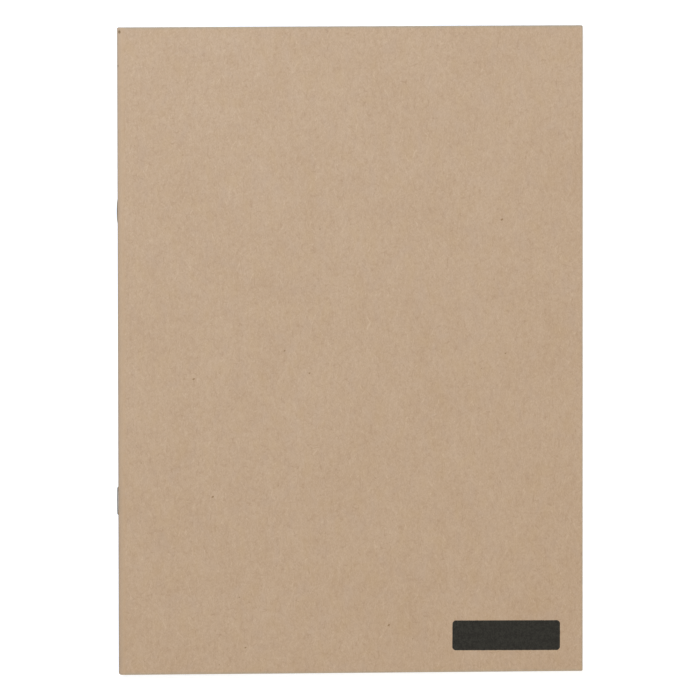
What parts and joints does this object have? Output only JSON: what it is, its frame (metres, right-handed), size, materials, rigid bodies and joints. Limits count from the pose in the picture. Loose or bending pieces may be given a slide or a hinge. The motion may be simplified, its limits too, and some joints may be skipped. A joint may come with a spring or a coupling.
{
  "type": "lined notebook",
  "caption": "Stapled A4 exercise book with a kraft-card cover and folded paper sheets, which opens at the centre spread.",
  "frame": {"origin": "middle of the bounding box in X and Y, on the underside of the back cover", "axes": "+X from the spine to the fore edge, +Y from the foot of the page to the head, +Z from the back cover to the front cover"},
  "size_m": [0.214, 0.297, 0.0056],
  "materials": {
    "kraft_card": "matt brown kraft card",
    "paper": "matt writing paper",
    "wire": "drawn staple wire"
  },
  "bodies": {
    "back": {"back_cover": "kraft_card"},
    "spine": {"cover_spine": "kraft_card", "staple_top": "wire", "staple_bottom": "wire", "sheet_01_fold": "paper", "sheet_02_fold": "paper", "sheet_03_fold": "paper", "sheet_04_fold": "paper", "sheet_05_fold": "paper", "sheet_06_fold": "paper", "sheet_07_fold": "paper", "sheet_08_fold": "paper", "sheet_09_fold": "paper", "sheet_10_fold": "paper", "sheet_11_fold": "paper", "sheet_12_fold": "paper", "sheet_13_fold": "paper", "sheet_14_fold": "paper", "sheet_15_fold": "paper", "sheet_16_fold": "paper", "sheet_17_fold": "paper", "sheet_18_fold": "paper"},
    "front_leaf_01": {"sheet_01_front_leaf": "paper"},
    "back_leaf_01": {"sheet_01_back_leaf": "paper"},
    "front_leaf_02": {"sheet_02_front_leaf": "paper"},
    "back_leaf_02": {"sheet_02_back_leaf": "paper"},
    "front_leaf_03": {"sheet_03_front_leaf": "paper"},
    "back_leaf_03": {"sheet_03_back_leaf": "paper"},
    "front_leaf_04": {"sheet_04_front_leaf": "paper"},
    "back_leaf_04": {"sheet_04_back_leaf": "paper"},
    "front_leaf_05": {"sheet_05_front_leaf": "paper"},
    "back_leaf_05": {"sheet_05_back_leaf": "paper"},
    "front_leaf_06": {"sheet_06_front_leaf": "paper"},
    "back_leaf_06": {"sheet_06_back_leaf": "paper"},
    "front_leaf_07": {"sheet_07_front_leaf": "paper"},
    "back_leaf_07": {"sheet_07_back_leaf": "paper"},
    "front_leaf_08": {"sheet_08_front_leaf": "paper"},
    "back_leaf_08": {"sheet_08_back_leaf": "paper"},
    "front_leaf_09": {"sheet_09_front_leaf": "paper"},
    "back_leaf_09": {"sheet_09_back_leaf": "paper"},
    "front_leaf_10": {"sheet_10_front_leaf": "paper"},
    "back_leaf_10": {"sheet_10_back_leaf": "paper"},
    "front_leaf_11": {"sheet_11_front_leaf": "paper"},
    "back_leaf_11": {"sheet_11_back_leaf": "paper"},
    "front_leaf_12": {"sheet_12_front_leaf": "paper"},
    "back_leaf_12": {"sheet_12_back_leaf": "paper"},
    "front_leaf_13": {"sheet_13_front_leaf": "paper"},
    "back_leaf_13": {"sheet_13_back_leaf": "paper"},
    "front_leaf_14": {"sheet_14_front_leaf": "paper"},
    "back_leaf_14": {"sheet_14_back_leaf": "paper"},
    "front_leaf_15": {"sheet_15_front_leaf": "paper"},
    "back_leaf_15": {"sheet_15_back_leaf": "paper"},
    "front_leaf_16": {"sheet_16_front_leaf": "paper"},
    "back_leaf_16": {"sheet_16_back_leaf": "paper"},
    "front_leaf_17": {"sheet_17_front_leaf": "paper"},
    "back_leaf_17": {"sheet_17_back_leaf": "paper"},
    "front_leaf_18": {"sheet_18_front_leaf": "paper"},
    "back_leaf_18": {"sheet_18_back_leaf": "paper"},
    "front_cover": {"front_cover": "kraft_card"}
  },
  "joints": [
    {"name": "spine_hinge", "type": "hinge", "parent": "back", "child": "spine", "pos_m": [-0.10354, 0, 0.00282], "axis": [0, -1, 0], "range_deg": [0, 90], "deforming": ["cover_spine", "sheet_01_fold", "sheet_02_fold", "sheet_03_fold", "sheet_04_fold", "sheet_05_fold", "sheet_06_fold", "sheet_07_fold", "sheet_08_fold", "sheet_09_fold", "sheet_10_fold", "sheet_11_fold", "sheet_12_fold", "sheet_13_fold", "sheet_14_fold", "sheet_15_fold", "sheet_16_fold", "sheet_17_fold", "sheet_18_fold"]},
    {"name": "front_leaf_01_hinge", "type": "hinge", "parent": "spine", "child": "front_leaf_01", "pos_m": [-0.10354, 0, 0.00282], "axis": [0, -1, 0], "range_deg": [0, 90]},
    {"name": "front_leaf_02_hinge", "type": "hinge", "parent": "spine", "child": "front_leaf_02", "pos_m": [-0.10354, 0, 0.00282], "axis": [0, -1, 0], "range_deg": [0, 90]},
    {"name": "front_leaf_03_hinge", "type": "hinge", "parent": "spine", "child": "front_leaf_03", "pos_m": [-0.10354, 0, 0.00282], "axis": [0, -1, 0], "range_deg": [0, 90]},
    {"name": "front_leaf_04_hinge", "type": "hinge", "parent": "spine", "child": "front_leaf_04", "pos_m": [-0.10354, 0, 0.00282], "axis": [0, -1, 0], "range_deg": [0, 90]},
    {"name": "front_leaf_05_hinge", "type": "hinge", "parent": "spine", "child": "front_leaf_05", "pos_m": [-0.10354, 0, 0.00282], "axis": [0, -1, 0], "range_deg": [0, 90]},
    {"name": "front_leaf_06_hinge", "type": "hinge", "parent": "spine", "child": "front_leaf_06", "pos_m": [-0.10354, 0, 0.00282], "axis": [0, -1, 0], "range_deg": [0, 90]},
    {"name": "front_leaf_07_hinge", "type": "hinge", "parent": "spine", "child": "front_leaf_07", "pos_m": [-0.10354, 0, 0.00282], "axis": [0, -1, 0], "range_deg": [0, 90]},
    {"name": "front_leaf_08_hinge", "type": "hinge", "parent": "spine", "child": "front_leaf_08", "pos_m": [-0.10354, 0, 0.00282], "axis": [0, -1, 0], "range_deg": [0, 90]},
    {"name": "front_leaf_09_hinge", "type": "hinge", "parent": "spine", "child": "front_leaf_09", "pos_m": [-0.10354, 0, 0.00282], "axis": [0, -1, 0], "range_deg": [0, 90]},
    {"name": "front_leaf_10_hinge", "type": "hinge", "parent": "spine", "child": "front_leaf_10", "pos_m": [-0.10354, 0, 0.00282], "axis": [0, -1, 0], "range_deg": [0, 90]},
    {"name": "front_leaf_11_hinge", "type": "hinge", "parent": "spine", "child": "front_leaf_11", "pos_m": [-0.10354, 0, 0.00282], "axis": [0, -1, 0], "range_deg": [0, 90]},
    {"name": "front_leaf_12_hinge", "type": "hinge", "parent": "spine", "child": "front_leaf_12", "pos_m": [-0.10354, 0, 0.00282], "axis": [0, -1, 0], "range_deg": [0, 90]},
    {"name": "front_leaf_13_hinge", "type": "hinge", "parent": "spine", "child": "front_leaf_13", "pos_m": [-0.10354, 0, 0.00282], "axis": [0, -1, 0], "range_deg": [0, 90]},
    {"name": "front_leaf_14_hinge", "type": "hinge", "parent": "spine", "child": "front_leaf_14", "pos_m": [-0.10354, 0, 0.00282], "axis": [0, -1, 0], "range_deg": [0, 90]},
    {"name": "front_leaf_15_hinge", "type": "hinge", "parent": "spine", "child": "front_leaf_15", "pos_m": [-0.10354, 0, 0.00282], "axis": [0, -1, 0], "range_deg": [0, 90]},
    {"name": "front_leaf_16_hinge", "type": "hinge", "parent": "spine", "child": "front_leaf_16", "pos_m": [-0.10354, 0, 0.00282], "axis": [0, -1, 0], "range_deg": [0, 90]},
    {"name": "front_leaf_17_hinge", "type": "hinge", "parent": "spine", "child": "front_leaf_17", "pos_m": [-0.10354, 0, 0.00282], "axis": [0, -1, 0], "range_deg": [0, 90]},
    {"name": "front_leaf_18_hinge", "type": "hinge", "parent": "spine", "child": "front_leaf_18", "pos_m": [-0.10354, 0, 0.00282], "axis": [0, -1, 0], "range_deg": [0, 90]},
    {"name": "back_leaf_01_hinge", "type": "hinge", "parent": "back", "child": "back_leaf_01", "pos_m": [-0.10354, 0, 0.00282], "axis": [0, -1, 0], "range_deg": [0, 180]},
    {"name": "back_leaf_02_hinge", "type": "hinge", "parent": "back", "child": "back_leaf_02", "pos_m": [-0.10354, 0, 0.00282], "axis": [0, -1, 0], "range_deg": [0, 180]},
    {"name": "back_leaf_03_hinge", "type": "hinge", "parent": "back", "child": "back_leaf_03", "pos_m": [-0.10354, 0, 0.00282], "axis": [0, -1, 0], "range_deg": [0, 180]},
    {"name": "back_leaf_04_hinge", "type": "hinge", "parent": "back", "child": "back_leaf_04", "pos_m": [-0.10354, 0, 0.00282], "axis": [0, -1, 0], "range_deg": [0, 180]},
    {"name": "back_leaf_05_hinge", "type": "hinge", "parent": "back", "child": "back_leaf_05", "pos_m": [-0.10354, 0, 0.00282], "axis": [0, -1, 0], "range_deg": [0, 180]},
    {"name": "back_leaf_06_hinge", "type": "hinge", "parent": "back", "child": "back_leaf_06", "pos_m": [-0.10354, 0, 0.00282], "axis": [0, -1, 0], "range_deg": [0, 180]},
    {"name": "back_leaf_07_hinge", "type": "hinge", "parent": "back", "child": "back_leaf_07", "pos_m": [-0.10354, 0, 0.00282], "axis": [0, -1, 0], "range_deg": [0, 180]},
    {"name": "back_leaf_08_hinge", "type": "hinge", "parent": "back", "child": "back_leaf_08", "pos_m": [-0.10354, 0, 0.00282], "axis": [0, -1, 0], "range_deg": [0, 180]},
    {"name": "back_leaf_09_hinge", "type": "hinge", "parent": "back", "child": "back_leaf_09", "pos_m": [-0.10354, 0, 0.00282], "axis": [0, -1, 0], "range_deg": [0, 180]},
    {"name": "back_leaf_10_hinge", "type": "hinge", "parent": "back", "child": "back_leaf_10", "pos_m": [-0.10354, 0, 0.00282], "axis": [0, -1, 0], "range_deg": [0, 180]},
    {"name": "back_leaf_11_hinge", "type": "hinge", "parent": "back", "child": "back_leaf_11", "pos_m": [-0.10354, 0, 0.00282], "axis": [0, -1, 0], "range_deg": [0, 180]},
    {"name": "back_leaf_12_hinge", "type": "hinge", "parent": "back", "child": "back_leaf_12", "pos_m": [-0.10354, 0, 0.00282], "axis": [0, -1, 0], "range_deg": [0, 180]},
    {"name": "back_leaf_13_hinge", "type": "hinge", "parent": "back", "child": "back_leaf_13", "pos_m": [-0.10354, 0, 0.00282], "axis": [0, -1, 0], "range_deg": [0, 180]},
    {"name": "back_leaf_14_hinge", "type": "hinge", "parent": "back", "child": "back_leaf_14", "pos_m": [-0.10354, 0, 0.00282], "axis": [0, -1, 0], "range_deg": [0, 180]},
    {"name": "back_leaf_15_hinge", "type": "hinge", "parent": "back", "child": "back_leaf_15", "pos_m": [-0.10354, 0, 0.00282], "axis": [0, -1, 0], "range_deg": [0, 180]},
    {"name": "back_leaf_16_hinge", "type": "hinge", "parent": "back", "child": "back_leaf_16", "pos_m": [-0.10354, 0, 0.00282], "axis": [0, -1, 0], "range_deg": [0, 180]},
    {"name": "back_leaf_17_hinge", "type": "hinge", "parent": "back", "child": "back_leaf_17", "pos_m": [-0.10354, 0, 0.00282], "axis": [0, -1, 0], "range_deg": [0, 180]},
    {"name": "back_leaf_18_hinge", "type": "hinge", "parent": "back", "child": "back_leaf_18", "pos_m": [-0.10354, 0, 0.00282], "axis": [0, -1, 0], "range_deg": [0, 180]},
    {"name": "front_cover_hinge", "type": "hinge", "parent": "front_leaf_01", "child": "front_cover", "pos_m": [-0.10299, 0, 0.00614], "axis": [0, -1, 0], "range_deg": [0, 179]}
  ],
  "couplings": [
    {"joint": "front_leaf_01_hinge", "follows": "spine_hinge", "ratio": 0.99667},
    {"joint": "front_leaf_02_hinge", "follows": "spine_hinge", "ratio": 0.99592},
    {"joint": "front_leaf_03_hinge", "follows": "spine_hinge", "ratio": 0.99456},
    {"joint": "front_leaf_04_hinge", "follows": "spine_hinge", "ratio": 0.99279},
    {"joint": "front_leaf_05_hinge", "follows": "spine_hinge", "ratio": 0.99071},
    {"joint": "front_leaf_06_hinge", "follows": "spine_hinge", "ratio": 0.98834},
    {"joint": "front_leaf_07_hinge", "follows": "spine_hinge", "ratio": 0.98572},
    {"joint": "front_leaf_08_hinge", "follows": "spine_hinge", "ratio": 0.98287},
    {"joint": "front_leaf_09_hinge", "follows": "spine_hinge", "ratio": 0.97981},
    {"joint": "front_leaf_10_hinge", "follows": "spine_hinge", "ratio": 0.97655},
    {"joint": "front_leaf_11_hinge", "follows": "spine_hinge", "ratio": 0.97311},
    {"joint": "front_leaf_12_hinge", "follows": "spine_hinge", "ratio": 0.96949},
    {"joint": "front_leaf_13_hinge", "follows": "spine_hinge", "ratio": 0.9657},
    {"joint": "front_leaf_14_hinge", "follows": "spine_hinge", "ratio": 0.96174},
    {"joint": "front_leaf_15_hinge", "follows": "spine_hinge", "ratio": 0.95764},
    {"joint": "front_leaf_16_hinge", "follows": "spine_hinge", "ratio": 0.95338},
    {"joint": "front_leaf_17_hinge", "follows": "spine_hinge", "ratio": 0.94898},
    {"joint": "front_leaf_18_hinge", "follows": "spine_hinge", "ratio": 0.94444},
    {"joint": "back_leaf_01_hinge", "follows": "spine_hinge", "ratio": 0.003333},
    {"joint": "back_leaf_02_hinge", "follows": "spine_hinge", "ratio": 0.004078},
    {"joint": "back_leaf_03_hinge", "follows": "spine_hinge", "ratio": 0.005441},
    {"joint": "back_leaf_04_hinge", "follows": "spine_hinge", "ratio": 0.007205},
    {"joint": "back_leaf_05_hinge", "follows": "spine_hinge", "ratio": 0.009294},
    {"joint": "back_leaf_06_hinge", "follows": "spine_hinge", "ratio": 0.011663},
    {"joint": "back_leaf_07_hinge", "follows": "spine_hinge", "ratio": 0.014283},
    {"joint": "back_leaf_08_hinge", "follows": "spine_hinge", "ratio": 0.017132},
    {"joint": "back_leaf_09_hinge", "follows": "spine_hinge", "ratio": 0.020192},
    {"joint": "back_leaf_10_hinge", "follows": "spine_hinge", "ratio": 0.02345},
    {"joint": "back_leaf_11_hinge", "follows": "spine_hinge", "ratio": 0.026894},
    {"joint": "back_leaf_12_hinge", "follows": "spine_hinge", "ratio": 0.030515},
    {"joint": "back_leaf_13_hinge", "follows": "spine_hinge", "ratio": 0.034304},
    {"joint": "back_leaf_14_hinge", "follows": "spine_hinge", "ratio": 0.038255},
    {"joint": "back_leaf_15_hinge", "follows": "spine_hinge", "ratio": 0.042361},
    {"joint": "back_leaf_16_hinge", "follows": "spine_hinge", "ratio": 0.046616},
    {"joint": "back_leaf_17_hinge", "follows": "spine_hinge", "ratio": 0.051016},
    {"joint": "back_leaf_18_hinge", "follows": "spine_hinge", "ratio": 0.055556}
  ]
}
